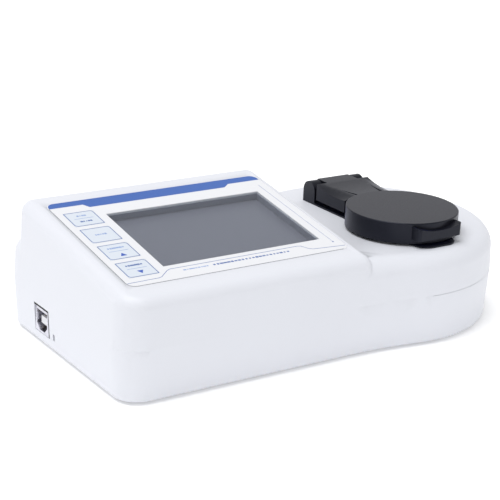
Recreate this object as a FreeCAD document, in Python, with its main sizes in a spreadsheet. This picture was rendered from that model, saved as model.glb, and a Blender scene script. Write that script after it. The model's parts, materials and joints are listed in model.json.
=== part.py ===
import FreeCAD, Part
import math
import os
import re

import Sketcher
from FreeCAD import Rotation, Vector

# Bench spectrophotometer: a two-part plastic case with a sloping display console on
# the left, and a round sample end on the right whose well is closed by a hinged
# light-tight lid.  Millimetres, +X right, +Y back, +Z up.  The origin is on the
# table, under the middle of the case.  A text that starts with = is a place tied to
# the driving sizes: how far it stands from an end of the case or over its deck.
DIMENSIONS = {
    # case, seen from above at the parting line
    "case_length": 193.3, "half_depth": 49.4, "end_radius": 53.2,
    "corner_radius": 10.5, "waist_x": "=case_length / 2 - 94.65", "wall": 2.5,
    # case, seen from the side
    "foot_height": 1.0, "lower_height": 20.0, "deck_height": 36.5,
    "lower_draft": 3.0, "upper_draft": 2.5, "deck_round": 7.5, "bottom_round": 1.5,
    "lip_height": 2.0, "lip_clearance": 0.15, "seam_height": 0.18, "seam_depth": 0.45,
    "seam_left": "=case_length / 2 - 58.65",
    # console
    "console_right": "=panel_x + panel_width + 5.8", "console_rear": 41.6, "console_round": 5.0,
    "console_rear_corner": 6.5, "console_right_corner": 5.5, "console_top": "=deck_height + 23.5",
    "panel_x": "=7.65 - case_length / 2", "panel_y": -38.25,
    "panel_z": "=deck_height + 4.6", "slope_angle": 9.23,
    "panel_wall": 3.2,
    # membrane panel, u along X and v up the slope from its lower left corner
    "panel_width": 96.0, "panel_height": 69.2, "panel_corner": 3.5, "panel_gap": 0.15,
    "backing_thickness": 0.5, "overlay_thickness": 1.1,
    "window_u": 19.3, "window_v": 10.2, "window_width": 69.3, "window_height": 44.8,
    "pane_thickness": 0.6, "pane_gap": 0.1, "pane_sink": 0.3,
    "key_u": 3.4, "key_v": 6.4, "key_width": 12.1, "key_height": 11.1, "key_pitch": 14.0,
    "key_thickness": 0.4, "key_proud": 0.05, "key_gap": 0.2,
    "dome_radius": 4.0, "dome_height": 0.25,
    # display module behind the panel
    "lcd_gap": 0.2, "lcd_thickness": 2.0, "lcd_margin": 3.0, "frame_rim": 1.0,
    "backlight_thickness": 1.2, "display_board_margin": "=12 - wall", "board_thickness": 1.6,
    "display_post_radius": 2.4, "display_post_inset": "=display_board_margin - 6.9",
    # fasteners
    "screw_radius": 1.45, "screw_head_radius": 2.7, "screw_head_height": 1.8,
    "pilot_radius": 1.25, "screw_clearance": 0.25, "boss_radius": 3.8,
    "case_screw_length": 12.0, "small_screw_radius": 1.1, "small_pilot_radius": 0.95,
    "small_head_radius": 2.0, "small_head_height": 1.4, "small_screw_length": 6.0,
    "left_boss_x": "=9.65 - case_length / 2", "left_boss_y": 38.0,
    "right_boss_x": "=case_length / 2 - 38.65", "right_boss_y": 41.0,
    "head_seat": 7.0,
    # main board, battery and left-hand sockets
    "board_left": "=5.15 - case_length / 2", "board_length": 80.0, "board_width": 67.0,
    "post_radius": 3.0, "post_inset_x": 10.0, "post_inset_y": 4.0,
    "usb_y": 17.9, "usb_width": 11.4, "usb_height": 10.2, "usb_depth": 16.0,
    "usb_bottom": 5.2, "usb_front": "=0.85 - case_length / 2", "usb_sheet": 0.4, "usb_chamfer": 2.2,
    "usb_mouth_width": 8.6, "usb_mouth_height": 8.0, "usb_mouth_rise": 0.8,
    "usb_gap": 0.2, "usb_wide_gap": 0.9,
    "tongue_width": 5.6, "tongue_height": 3.0, "tongue_length": 9.0,
    "usb_back": 5.5, "contact_thickness": 0.2, "contact_width": 1.0,
    "reset_y": 7.6, "reset_z": 6.9, "reset_slot_width": 1.5, "reset_slot_height": 2.6,
    "switch_size": 5.6, "switch_front": "=5.65 - case_length / 2", "plunger_radius": 0.9,
    "plunger_length": 1.6, "plunger_travel": 0.5,
    "battery_length": 58.0, "battery_width": 38.0, "battery_height": 9.0,
    "battery_x": "=54.65 - case_length / 2", "battery_rim": 1.5, "chip_size": 14.0, "chip_height": 1.4,
    # sample well and optics
    "lid_x": "=case_length / 2 - 49.75", "well_y": -19.4, "well_radius": 12.4, "well_wall": 2.6,
    "well_floor": 2.5, "well_clearance": 0.5, "collar_radius": 19.4,
    "collar_height": 2.8, "aperture_radius": 2.0, "beam_height": 18.0,
    "lamp_block_length": 16.0, "lamp_block_width": 16.0, "lamp_radius": 2.5,
    "lamp_length": 8.6, "lamp_flange": 3.0, "lens_radius": 4.8, "lens_edge": 1.0,
    "lens_blank": 3.0, "lamp_rim": 1.0, "lens_curve": 12.0, "lens_gap": 0.05, "optics_gap": 0.6,
    "detector_length": 16.5, "detector_width": 18.0, "detector_height": 20.0,
    "detector_wall": 1.5, "slit_width": 0.4, "slit_height": 4.0,
    "grating_size": 8.0, "grating_thickness": 2.0, "grating_turn": 35.0,
    "detector_chip_length": 8.0, "detector_chip_height": 1.6,
    # lid and hinge
    "plate_thickness": 0.7, "hinge_width": 26.5, "knuckle_width": 4.8,
    "hinge_y": 26.9, "hinge_rise": 4.7, "knuckle_radius": 4.1, "pin_radius": 1.25,
    "pin_clearance": 0.05, "pin_cover": 0.5, "collar_chamfer": 0.8, "knuckle_gap": 0.4,
    "tongue_lip_width": 19.6, "tongue_lip_front": -45.2, "tongue_lip_round": 6.0,
    "disc_radius": 22.9, "disc_top": "=deck_height + 10.4", "disc_gap": 0.4, "disc_roof": 2.4,
    "disc_wall": 2.2, "disc_edge": 0.5, "arm_width": 26.9, "arm_bottom": "=deck_height + 3.7",
    "arm_hinge_top": "=deck_height + 10.6", "arm_disc_top": "=deck_height + 8.8",
    "arm_gap": 1.6, "neck_reach": 1.4,
    "arm_sag": 1.1, "crown_rear_width": 21.0, "crown_front_width": 16.0,
    "crown_disc_top": "=disc_top - 0.1", "crown_sag": 0.35, "groove_rear_width": 17.0,
    "groove_front_width": 12.2, "groove_start": 6.5, "groove_depth": 1.9,
    "groove_spread": 0.45, "tab_width": 22.0, "tab_corner": 1.6, "tab_front": -44.1,
    "tab_bottom": "=deck_height + 4.1", "tab_middle_top": "=deck_height + 7.5", "tab_scoop_radius": 37.0,
    "seal_height": 1.4, "seal_inner": 14.0,
    # rubber feet
    "foot_radius": 5.0, "foot_recess": 0.8, "foot_left_x": "=26.65 - case_length / 2",
    "foot_right_x": "=case_length / 2 - 34.65",
    "foot_y": 33.0,
}

doc = FreeCAD.newDocument("Spectrophotometer")
sheet = doc.addObject("Spreadsheet::Sheet", "Dims")
for row, alias in enumerate(DIMENSIONS, start=1):
    sheet.set(f"A{row}", alias)
    sheet.setAlias(f"B{row}", alias)
for row, value in enumerate(DIMENSIONS.values(), start=1):
    sheet.set(f"B{row}", value if isinstance(value, str) else repr(value))
doc.recompute()

NODES = []
SMALLEST_CORNER = 0.5
TOUCH = 1e-3


# --- helpers -------------------------------------------------------------------

def formula(text):
    """The sheet expression for a text that names dimensions."""
    def link(match):
        word = match.group()
        return f"Dims.{word}" if word in DIMENSIONS else word
    return re.sub(r"[a-z_][a-z_0-9]*", link, str(text))


def size(name):
    """A dimension's number, read from the sheet."""
    return float(sheet.get(name))


def bind(piece, **properties):
    """Binds an object's properties to formulas of the sheet."""
    for name, text in properties.items():
        piece.setExpression(name, formula(text))


def place(piece, x, y, z):
    """Binds an object's position to three formulas."""
    for axis, text in zip("xyz", (x, y, z)):
        piece.setExpression(f"Placement.Base.{axis}", formula(text))
    return piece


def tilt(piece, u, v, w):
    """Puts an object on the sloping panel: u to the right, v up the slope, w out."""
    piece.Placement = FreeCAD.Placement(Vector(), Rotation(Vector(1, 0, 0), size("slope_angle")))
    piece.setExpression("Placement.Rotation.Angle", formula("slope_angle"))
    y = f"panel_y + ({v}) * cos(slope_angle) - ({w}) * sin(slope_angle)"
    z = f"panel_z + ({v}) * sin(slope_angle) + ({w}) * cos(slope_angle)"
    return place(piece, f"panel_x + {u}", y, z)


def box(name, length, width, height):
    piece = doc.addObject("Part::Box", name)
    bind(piece, Length=length, Width=width, Height=height)
    return piece


def block(name, sizes, corner):
    """A box with its lowest corner at the given place."""
    return place(box(name, *sizes), *corner)


def centred_block(name, sizes, x, y, bottom):
    """A box centred on x and y that stands on the height bottom."""
    length, width, height = sizes
    return block(name, sizes, (f"{x} - ({length}) / 2", f"{y} - ({width}) / 2", bottom))


TURNS = {"x": Rotation(Vector(0, 1, 0), 90), "y": Rotation(Vector(1, 0, 0), -90), "z": Rotation()}


def rod(name, radius, length, start, axis="z"):
    """A cylinder that runs from its start along one axis."""
    piece = doc.addObject("Part::Cylinder", name)
    bind(piece, Radius=radius, Height=length)
    piece.Placement = FreeCAD.Placement(Vector(), TURNS[axis])
    return place(piece, *start)


def fuse(name, *pieces):
    joined = doc.addObject("Part::MultiFuse", name)
    joined.Shapes = list(pieces)
    return joined


def common(name, *pieces):
    shared = doc.addObject("Part::MultiCommon", name)
    shared.Shapes = list(pieces)
    return shared


def cut(name, base, *tools):
    tool = tools[0] if len(tools) == 1 else fuse(name + "_tools", *tools)
    result = doc.addObject("Part::Cut", name)
    result.Base = base
    result.Tool = tool
    return result


def group(name, pieces):
    """Identical pieces that stay separate solids of one node."""
    result = doc.addObject("Part::Compound", name)
    result.Links = list(pieces)
    return result


def fillet(name, base, radius, wanted):
    """Rounds the edges of base for which wanted is true."""
    doc.recompute()
    result = doc.addObject("Part::Fillet", name)
    result.Base = base
    edges = base.Shape.Edges
    result.Edges = [(i, radius, radius) for i, edge in enumerate(edges, start=1) if wanted(edge)]
    return result


def at_height(height):
    """Chooses the edges that lie level at one height."""
    def wanted(edge):
        return all(abs(vertex.Z - height) < TOUCH for vertex in edge.Vertexes)
    return wanted


def node(label, piece):
    """Names a finished piece and keeps it for export."""
    piece.Label = label
    NODES.append(piece)
    return piece


def new_body(name):
    return doc.addObject("PartDesign::Body", name)


def origin_plane(body, role):
    return next(item for item in body.Origin.OriginFeatures if item.Role == role)


def sketch_on(body, name, role):
    """A sketch attached to one of its own body's origin planes."""
    sketch = body.newObject("Sketcher::SketchObject", name)
    sketch.AttachmentSupport = [(origin_plane(body, role), "")]
    sketch.MapMode = "FlatFace"
    return sketch


def constrain(sketch, kind, *places):
    """Adds a constraint; a last text argument is the formula of its value."""
    if not isinstance(places[-1], str):
        return sketch.addConstraint(Sketcher.Constraint(kind, *places))
    *geometry, text = places
    probe = sheet_value(text)
    index = sketch.addConstraint(Sketcher.Constraint(kind, *geometry, probe))
    sketch.setExpression(f"Constraints[{index}]", formula(text))
    return index


def sheet_value(text):
    """The number that a formula stands for."""
    return float(sheet.evalExpression(formula(text)))


def polygon(sketch, points):
    """A closed line through points whose coordinates are formulas."""
    corners = [Vector(sheet_value(x), sheet_value(y), 0) for x, y in points]
    count = len(corners)
    for i in range(count):
        sketch.addGeometry(Part.LineSegment(corners[i], corners[(i + 1) % count]), False)
    for i in range(count):
        constrain(sketch, "Coincident", i, 2, (i + 1) % count, 1)
    for i, (x, y) in enumerate(points):
        constrain(sketch, "DistanceX", -1, 1, i, 1, x)
        constrain(sketch, "DistanceY", -1, 1, i, 1, y)


def circle(sketch, x, y, radius):
    centre = Vector(sheet_value(x), sheet_value(y), 0)
    shape = Part.Circle(centre, Vector(0, 0, 1), sheet_value(radius))
    index = sketch.addGeometry(shape, False)
    constrain(sketch, "DistanceX", -1, 1, index, 3, x)
    constrain(sketch, "DistanceY", -1, 1, index, 3, y)
    constrain(sketch, "Radius", index, radius)


def pad(body, sketch, length, reverse=False):
    feature = body.newObject("PartDesign::Pad", sketch.Name + "_pad")
    feature.Profile = sketch
    feature.Reversed = reverse
    bind(feature, Length=length)
    sketch.Visibility = False
    return feature


def revolve(body, sketch, axis="V_Axis"):
    feature = body.newObject("PartDesign::Revolution", sketch.Name + "_turn")
    feature.Profile = sketch
    feature.ReferenceAxis = (sketch, [axis])
    feature.Angle = 360
    return feature


# --- case ----------------------------------------------------------------------

def case_outline(name, inset):
    """The case seen from above: straight on the left, swelling to a round end."""
    sketch = doc.addObject("Sketcher::SketchObject", name)
    shift = sheet_value(inset)
    left = -size("case_length") / 2 + shift
    centre = size("case_length") / 2 - size("end_radius")
    radius = size("end_radius") - shift
    half = size("half_depth") - shift
    corner = size("corner_radius") - shift
    waist = size("waist_x")
    run = centre - waist
    blend = (run ** 2 - (radius ** 2 - half ** 2)) / (2 * (radius - half))
    lean = math.asin(run / (radius + blend))
    up = Vector(0, 0, 1)
    quarter = math.pi / 2

    def arc(x, y, r, start, end):
        return Part.ArcOfCircle(Part.Circle(Vector(x, y, 0), up, r), start, end)

    sketch.addGeometry([
        Part.LineSegment(Vector(left, half - corner, 0), Vector(left, corner - half, 0)),
        arc(left + corner, corner - half, corner, 2 * quarter, 3 * quarter),
        Part.LineSegment(Vector(left + corner, -half, 0), Vector(waist, -half, 0)),
        arc(waist, -half - blend, blend, quarter - lean, quarter),
        arc(centre, 0, radius, lean - quarter, quarter - lean),
        arc(waist, half + blend, blend, 3 * quarter, 3 * quarter + lean),
        Part.LineSegment(Vector(waist, half, 0), Vector(left + corner, half, 0)),
        arc(left + corner, half - corner, corner, quarter, 2 * quarter),
    ], False)
    joins = [(0, 2, 1, 1), (1, 2, 2, 1), (2, 2, 3, 2), (3, 1, 4, 1)]
    joins += [(4, 2, 5, 2), (5, 1, 6, 1), (6, 2, 7, 1), (7, 2, 0, 1)]
    for join in joins:
        constrain(sketch, "Tangent", *join)
    constrain(sketch, "Vertical", 0)
    constrain(sketch, "Horizontal", 2)
    constrain(sketch, "Horizontal", 6)
    constrain(sketch, "PointOnObject", 4, 3, -1)
    constrain(sketch, "DistanceX", -1, 1, 0, 1, f"-case_length / 2 + {inset}")
    constrain(sketch, "DistanceY", -1, 1, 2, 1, f"-half_depth + {inset}")
    constrain(sketch, "DistanceY", -1, 1, 6, 1, f"half_depth - ({inset})")
    constrain(sketch, "DistanceX", -1, 1, 4, 3, "case_length / 2 - end_radius")
    constrain(sketch, "Radius", 4, f"end_radius - ({inset})")
    constrain(sketch, "DistanceX", -1, 1, 2, 2, "waist_x")
    constrain(sketch, "DistanceX", -1, 1, 6, 1, "waist_x")
    constrain(sketch, "Radius", 1, f"corner_radius - ({inset})")
    constrain(sketch, "Radius", 7, f"corner_radius - ({inset})")
    return place(sketch, 0, 0, PARTING)


def console_outline(name, inset):
    """The console seen from above: it shares the case's left and front faces."""
    sketch = doc.addObject("Sketcher::SketchObject", name)
    shift = sheet_value(inset)
    left = -size("case_length") / 2 + shift
    right = size("console_right") - shift
    front = -size("half_depth") + shift
    rear = size("console_rear") - shift
    near = size("corner_radius") - shift
    far = size("console_rear_corner") - shift
    side = max(size("console_right_corner") - shift, SMALLEST_CORNER)
    up = Vector(0, 0, 1)
    half_turn = math.pi

    def arc(x, y, r, start):
        return Part.ArcOfCircle(Part.Circle(Vector(x, y, 0), up, r), start, start + half_turn / 2)

    sketch.addGeometry([
        Part.LineSegment(Vector(left, rear - far, 0), Vector(left, front + near, 0)),
        arc(left + near, front + near, near, half_turn),
        Part.LineSegment(Vector(left + near, front, 0), Vector(right - side, front, 0)),
        arc(right - side, front + side, side, 1.5 * half_turn),
        Part.LineSegment(Vector(right, front + side, 0), Vector(right, rear - far, 0)),
        arc(right - far, rear - far, far, 0),
        Part.LineSegment(Vector(right - far, rear, 0), Vector(left + far, rear, 0)),
        arc(left + far, rear - far, far, half_turn / 2),
    ], False)
    for index in range(8):
        constrain(sketch, "Tangent", index, 2, (index + 1) % 8, 1)
    for index in (0, 4):
        constrain(sketch, "Vertical", index)
    for index in (2, 6):
        constrain(sketch, "Horizontal", index)
    constrain(sketch, "DistanceX", -1, 1, 0, 1, f"-case_length / 2 + {inset}")
    constrain(sketch, "DistanceX", -1, 1, 4, 1, f"console_right - ({inset})")
    constrain(sketch, "DistanceY", -1, 1, 2, 1, f"-half_depth + {inset}")
    constrain(sketch, "DistanceY", -1, 1, 6, 1, f"console_rear - ({inset})")
    constrain(sketch, "Radius", 1, f"corner_radius - ({inset})")
    constrain(sketch, "Radius", 3, f"max(console_right_corner - ({inset}); {SMALLEST_CORNER})")
    constrain(sketch, "Radius", 5, f"console_rear_corner - ({inset})")
    constrain(sketch, "Radius", 7, f"console_rear_corner - ({inset})")
    return place(sketch, 0, 0, PARTING)


def drafted(name, outline, height, draft, direction=1):
    """A solid that narrows by its draft as it leaves the parting line."""
    solid = doc.addObject("Part::Extrusion", name)
    solid.Base = outline
    solid.DirMode = "Custom"
    solid.Dir = Vector(0, 0, direction)
    solid.Solid = True
    bind(solid, LengthFwd=height, TaperAngle=f"-({draft})")
    return solid


def upper_solid(name, inset, roof, panel_depth):
    """The upper case as a closed solid, inset by a wall all round."""
    deck = drafted(name + "_deck", case_outline(name + "_deck_outline", inset),
                   f"deck_height - lower_height - ({roof})", "upper_draft")
    deck_top = sheet_value(f"{DECK} - ({roof})")
    deck = fillet(name + "_deck_round", deck, sheet_value(f"deck_round - ({inset})"),
                  at_height(deck_top))
    tower = drafted(name + "_tower", console_outline(name + "_tower_outline", inset),
                    f"console_top - {PARTING}", "upper_draft")
    below = tilt(box(name + "_below", "case_length * 2", "case_length", "console_top * 2"),
                 "-case_length / 2", "-case_length / 2", f"-console_top * 2 - ({panel_depth})")
    wedge = common(name + "_wedge", tower, below)
    normal = Rotation(Vector(1, 0, 0), size("slope_angle")).multVec(Vector(0, 0, 1))
    corner = Vector(size("panel_x"), size("panel_y"), size("panel_z"))
    level = (corner.dot(normal)) - sheet_value(panel_depth)

    def on_slope(edge):
        return all(abs(vertex.Point.dot(normal) - level) < TOUCH for vertex in edge.Vertexes)

    wedge = fillet(name + "_wedge_round", wedge, sheet_value(f"console_round - ({inset})"), on_slope)
    return fuse(name, deck, wedge)


PARTING = "(foot_height + lower_height)"
DECK = "(foot_height + deck_height)"
FLOOR = "(foot_height + wall)"
ROOF = "(foot_height + deck_height - wall)"
BOSSES = [("left_boss_x", "left_boss_y"), ("left_boss_x", "-left_boss_y"),
          ("right_boss_x", "right_boss_y"), ("right_boss_x", "-right_boss_y")]
BOARD_POSTS = [(f"board_left + {x}", y)
               for x in ("post_inset_x", "board_length - post_inset_x")
               for y in ("board_width / 2 - post_inset_y", "post_inset_y - board_width / 2")]
BOARD_BOTTOM = "(usb_bottom + usb_height)"
DISPLAY_BOARD_U = "(window_u - display_board_margin)"
DISPLAY_BOARD_V = "(window_v - display_board_margin)"
DISPLAY_BOARD_WIDTH = "(window_width + 2 * display_board_margin)"
DISPLAY_BOARD_HEIGHT = "(window_height + 2 * display_board_margin)"
DISPLAY_POSTS = [(f"{DISPLAY_BOARD_U} + {u}", f"{DISPLAY_BOARD_V} + {v}")
                 for u in ("display_post_inset", f"{DISPLAY_BOARD_WIDTH} - display_post_inset")
                 for v in ("display_post_inset", f"{DISPLAY_BOARD_HEIGHT} - display_post_inset")]
BACKING_TOP = "(0 - overlay_thickness)"
RECESS_DEPTH = "(overlay_thickness + backing_thickness)"
LCD_TOP = "(0 - panel_wall - lcd_gap)"
LCD_BACK = f"({LCD_TOP} - lcd_thickness)"
BACKLIGHT_BACK = f"({LCD_BACK} - backlight_thickness)"
WELL = ("lid_x", "well_y")
HINGE_Z = f"({DECK} + hinge_rise + plate_thickness)"
PLATE_TOP = f"({DECK} + plate_thickness)"
HINGE_SCREWS = [(f"lid_x + {side} * (hinge_width - knuckle_width) / 2", "hinge_y")
                for side in (-1, 1)]


def upper_shell():
    outer = upper_solid("upper_outer", "0", "0", "0")
    inner = upper_solid("upper_inner", "wall", "wall", "panel_wall")
    shell = cut("upper_walls", outer, inner)
    rebate = drafted("lip_rebate", case_outline("rebate_outline", "wall / 2 - lip_clearance"),
                     "lip_height + lip_clearance", "upper_draft")
    recess = tilt(box("panel_recess", "panel_width + 2 * panel_gap",
                      "panel_height + 2 * panel_gap", RECESS_DEPTH),
                  "-panel_gap", "-panel_gap", f"-{RECESS_DEPTH}")
    recess = fillet("panel_recess_round", recess, size("panel_corner") + size("panel_gap"), upright)
    window = tilt(box("display_opening", "window_width", "window_height", "panel_wall * 2"),
                  "window_u", "window_v", "-panel_wall * 1.5")
    well = rod("deck_hole", "well_radius + well_clearance", "deck_height", (*WELL, ROOF + " - wall"))
    hinge_holes = [rod(f"hinge_hole_{i}", "small_screw_radius + screw_clearance", "wall * 3",
                       (x, y, f"{ROOF} - wall")) for i, (x, y) in enumerate(HINGE_SCREWS)]
    posts = [rod(f"upper_post_{i}", "boss_radius", "console_top", (x, y, PARTING))
             for i, (x, y) in enumerate(BOSSES)]
    posts = common("upper_posts", fuse("upper_post_set", *posts), outer)
    display_posts = [tilt_rod(f"display_post_{i}", "display_post_radius",
                              "lcd_gap + lcd_thickness + backlight_thickness + wall / 2",
                              u, v, BACKLIGHT_BACK) for i, (u, v) in enumerate(DISPLAY_POSTS)]
    solid = fuse("upper_with_posts", shell, posts, *display_posts)
    pilots = [rod(f"upper_pilot_{i}", "pilot_radius", "case_screw_length", (x, y, PARTING))
              for i, (x, y) in enumerate(BOSSES)]
    display_pilots = [tilt_rod(f"display_pilot_{i}", "small_pilot_radius",
                               "lcd_thickness + backlight_thickness", u, v, BACKLIGHT_BACK)
                      for i, (u, v) in enumerate(DISPLAY_POSTS)]
    node("upper_shell", cut("upper_shell", solid, rebate, recess, window, well, *hinge_holes,
                            *pilots, *display_pilots))


def upright(edge):
    """True for the edges of a sloping box that run square to its face."""
    normal = Rotation(Vector(1, 0, 0), size("slope_angle")).multVec(Vector(0, 0, 1))
    run = edge.Vertexes[1].Point - edge.Vertexes[0].Point
    return abs(run.normalize().dot(normal)) > 0.999


def tilt_rod(name, radius, length, u, v, w):
    piece = doc.addObject("Part::Cylinder", name)
    bind(piece, Radius=radius, Height=length)
    return tilt(piece, u, v, w)


def lower_shell():
    outer = drafted("lower_outer", case_outline("lower_outline", "0"), "lower_height",
                    "lower_draft", -1)
    outer = fillet("lower_round", outer, size("bottom_round"), at_height(size("foot_height")))
    inner = drafted("lower_inner", case_outline("lower_inner_outline", "wall"),
                    "lower_height - wall", "lower_draft", -1)
    lip = drafted("lip_outer", case_outline("lip_outline", "wall / 2"), "lip_height", "0.0")
    lip_bore = drafted("lip_inner", case_outline("lip_inner_outline", "wall"),
                       "lip_height * 2", "0.0")
    walls = fuse("lower_walls", cut("lower_tray", outer, inner), cut("lip", lip, lip_bore))
    bosses = [rod(f"lower_boss_{i}", "boss_radius", "lower_height - wall / 2",
                  (x, y, "foot_height + wall / 2")) for i, (x, y) in enumerate(BOSSES)]
    posts = [rod(f"board_post_{i}", "post_radius", f"{BOARD_BOTTOM} - foot_height - wall / 2",
                 (x, y, "foot_height + wall / 2")) for i, (x, y) in enumerate(BOARD_POSTS)]
    rim_sizes = ("battery_length + 2 * battery_rim", "battery_width + 2 * battery_rim",
                 "battery_height / 2")
    rim = centred_block("battery_rim", rim_sizes, "battery_x", "0", f"{FLOOR} - battery_rim")
    bay_sizes = ("battery_length + 2 * lip_clearance", "battery_width + 2 * lip_clearance",
                 "battery_height")
    bay = centred_block("battery_bay", bay_sizes, "battery_x", "0", FLOOR)
    solid = fuse("lower_with_bosses", walls, *bosses, *posts, rim)
    core = drafted("seam_core", case_outline("seam_outline", "seam_depth"), "seam_height", "0.0", -1)
    seam = cut("seam", block("seam_blank", ("case_length", "case_length", "seam_height"),
                             ("seam_left", "-case_length / 2", f"{PARTING} - seam_height")), core)
    holes = [bay, seam]
    for i, (x, y) in enumerate(BOSSES):
        holes.append(rod(f"head_hole_{i}", "screw_head_radius + screw_clearance", "head_seat",
                         (x, y, "foot_height")))
        holes.append(rod(f"shank_hole_{i}", "screw_radius + screw_clearance", "lower_height * 2",
                         (x, y, "foot_height")))
    for i, (x, y) in enumerate(BOARD_POSTS):
        holes.append(rod(f"board_pilot_{i}", "small_pilot_radius", "small_screw_length",
                         (x, y, f"{BOARD_BOTTOM} - small_screw_length + board_thickness")))
    for i, (x, y) in enumerate(FEET):
        holes.append(rod(f"foot_pocket_{i}", "foot_radius + lip_clearance", "foot_recess",
                         (x, y, "foot_height")))
    holes.append(block("usb_hole", ("wall * 4", "usb_width + usb_gap + usb_wide_gap",
                                    "usb_height + usb_gap + usb_wide_gap"),
                       ("-case_length / 2 - wall", "usb_y - usb_width / 2 - usb_wide_gap",
                        "usb_bottom - usb_gap")))
    holes.append(block("reset_slot", ("wall * 4", "reset_slot_width", "reset_slot_height"),
                       ("-case_length / 2 - wall", "reset_y - reset_slot_width / 2",
                        "reset_z - reset_slot_height / 2")))
    node("lower_shell", cut("lower_shell", solid, *holes))


FEET = [(x, y) for x in ("foot_left_x", "foot_right_x") for y in ("foot_y", "-foot_y")]


def feet():
    node("feet", group("feet", [rod(f"foot_{i}", "foot_radius", "foot_height + foot_recess",
                                    (x, y, "0")) for i, (x, y) in enumerate(FEET)]))


def screw(name, radius, length, head_radius, head_height, x, y, head_z, way=1):
    """A pan-head screw whose head starts at head_z and whose shank goes up or down."""
    head = rod(name + "_head", head_radius, head_height, (x, y, head_z))
    start = f"{head_z} + {head_height}" if way > 0 else f"{head_z} - ({length})"
    shank = rod(name + "_shank", radius, length, (x, y, start))
    return fuse(name, head, shank)


def case_screws():
    head_z = "(foot_height + head_seat - screw_head_height)"
    length = f"({PARTING} - foot_height - head_seat + case_screw_length - screw_clearance)"
    node("case_screws", group("case_screws", [
        screw(f"case_screw_{i}", "screw_radius", length, "screw_head_radius",
              "screw_head_height", x, y, head_z) for i, (x, y) in enumerate(BOSSES)]))


# --- membrane panel, keys and display ---------------------------------------------

def panel_plate(name, bottom, thickness):
    plate = tilt(box(name + "_plate", "panel_width", "panel_height", thickness), "0", "0", bottom)
    plate = fillet(name + "_corners", plate, size("panel_corner"), upright)
    window = tilt(box(name + "_window", "window_width", "window_height", "panel_wall * 2"),
                  "window_u", "window_v", "-panel_wall")
    return plate, window


KEYS = ["key_down", "key_up", "key_enter", "key_mode"]


def key_corner(index, edge):
    return f"key_u - ({edge})", f"key_v + {index} * key_pitch - ({edge})"


def panel_overlay():
    plate, window = panel_plate("overlay", BACKING_TOP, "overlay_thickness")
    holes = [tilt(box(f"key_hole_{i}", "key_width + 2 * key_gap", "key_height + 2 * key_gap",
                      "panel_wall * 2"), *key_corner(i, "key_gap"), "-panel_wall")
             for i in range(len(KEYS))]
    node("panel_overlay", cut("panel_overlay", plate, window, *holes))


def keypad_backing():
    plate, window = panel_plate("backing", f"-{RECESS_DEPTH}", "backing_thickness")
    node("keypad_backing", cut("keypad_backing", plate, window))


def keys():
    for i, label in enumerate(KEYS):
        key = tilt(box(label, "key_width", "key_height", "key_thickness"),
                   *key_corner(i, "0"), "key_proud - key_thickness")
        node(label, key)


def key_domes():
    domes = [tilt_rod(f"dome_{i}", "dome_radius", "dome_height", "key_u + key_width / 2",
                      f"key_v + {i} * key_pitch + key_height / 2", BACKING_TOP)
             for i in range(len(KEYS))]
    node("key_domes", group("key_domes", domes))


def display_window():
    node("display_window", tilt(
        box("display_window", "window_width - 2 * pane_gap", "window_height - 2 * pane_gap",
            "pane_thickness"),
        "window_u + pane_gap", "window_v + pane_gap", "-pane_sink - pane_thickness"))


def display_layer(name, margin, bottom, thickness):
    return tilt(box(name, f"window_width + 2 * ({margin})", f"window_height + 2 * ({margin})",
                    thickness),
                f"window_u - ({margin})", f"window_v - ({margin})", bottom)


def display_module():
    node("lcd_glass", display_layer("lcd_glass", "lcd_margin", LCD_BACK, "lcd_thickness"))
    outer = display_layer("frame_outer", "lcd_margin + frame_rim + lcd_gap",
                          BACKLIGHT_BACK, "lcd_thickness + backlight_thickness")
    inner = display_layer("frame_inner", "lcd_margin + lcd_gap", f"{BACKLIGHT_BACK} - wall",
                          "panel_wall * 4")
    node("lcd_frame", cut("lcd_frame", outer, inner))
    node("lcd_backlight", display_layer("lcd_backlight", "lcd_margin", BACKLIGHT_BACK,
                                        "backlight_thickness"))
    board = tilt(box("display_board_blank", DISPLAY_BOARD_WIDTH, DISPLAY_BOARD_HEIGHT,
                     "board_thickness"),
                 DISPLAY_BOARD_U, DISPLAY_BOARD_V, f"{BACKLIGHT_BACK} - board_thickness")
    holes = [tilt_rod(f"display_board_hole_{i}", "small_screw_radius + screw_clearance",
                      "board_thickness * 3", u, v, f"{BACKLIGHT_BACK} - board_thickness * 2")
             for i, (u, v) in enumerate(DISPLAY_POSTS)]
    node("display_board", cut("display_board", board, *holes))
    screws = []
    for i, (u, v) in enumerate(DISPLAY_POSTS):
        head = tilt_rod(f"display_screw_head_{i}", "small_head_radius", "small_head_height", u, v,
                        f"{BACKLIGHT_BACK} - board_thickness - small_head_height")
        shank = tilt_rod(f"display_screw_shank_{i}", "small_screw_radius",
                         "board_thickness + lcd_thickness", u, v,
                         f"{BACKLIGHT_BACK} - board_thickness")
        screws.append(fuse(f"display_screw_{i}", head, shank))
    node("display_screws", group("display_screws", screws))


# --- main board, battery and sockets ------------------------------------------------

def main_board():
    body = new_body("main_board")
    sketch = sketch_on(body, "board_outline", "XY_Plane")
    left, right = "board_left", "board_left + board_length"
    polygon(sketch, [(left, "-board_width / 2"), (right, "-board_width / 2"),
                     (right, "board_width / 2"), (left, "board_width / 2")])
    for x, y in BOARD_POSTS:
        circle(sketch, x, y, "small_screw_radius + screw_clearance")
    pad(body, sketch, "board_thickness")
    node("main_board", place(body, 0, 0, BOARD_BOTTOM))
    board_top = f"{BOARD_BOTTOM} + board_thickness"
    node("processor", centred_block("processor", ("chip_size", "chip_size", "chip_height"),
                                    "board_left + board_length / 2", "0", board_top))
    screws = [screw(f"board_screw_{i}", "small_screw_radius", "small_screw_length - screw_clearance",
                    "small_head_radius", "small_head_height", x, y, board_top, -1)
              for i, (x, y) in enumerate(BOARD_POSTS)]
    node("board_screws", group("board_screws", screws))


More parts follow.
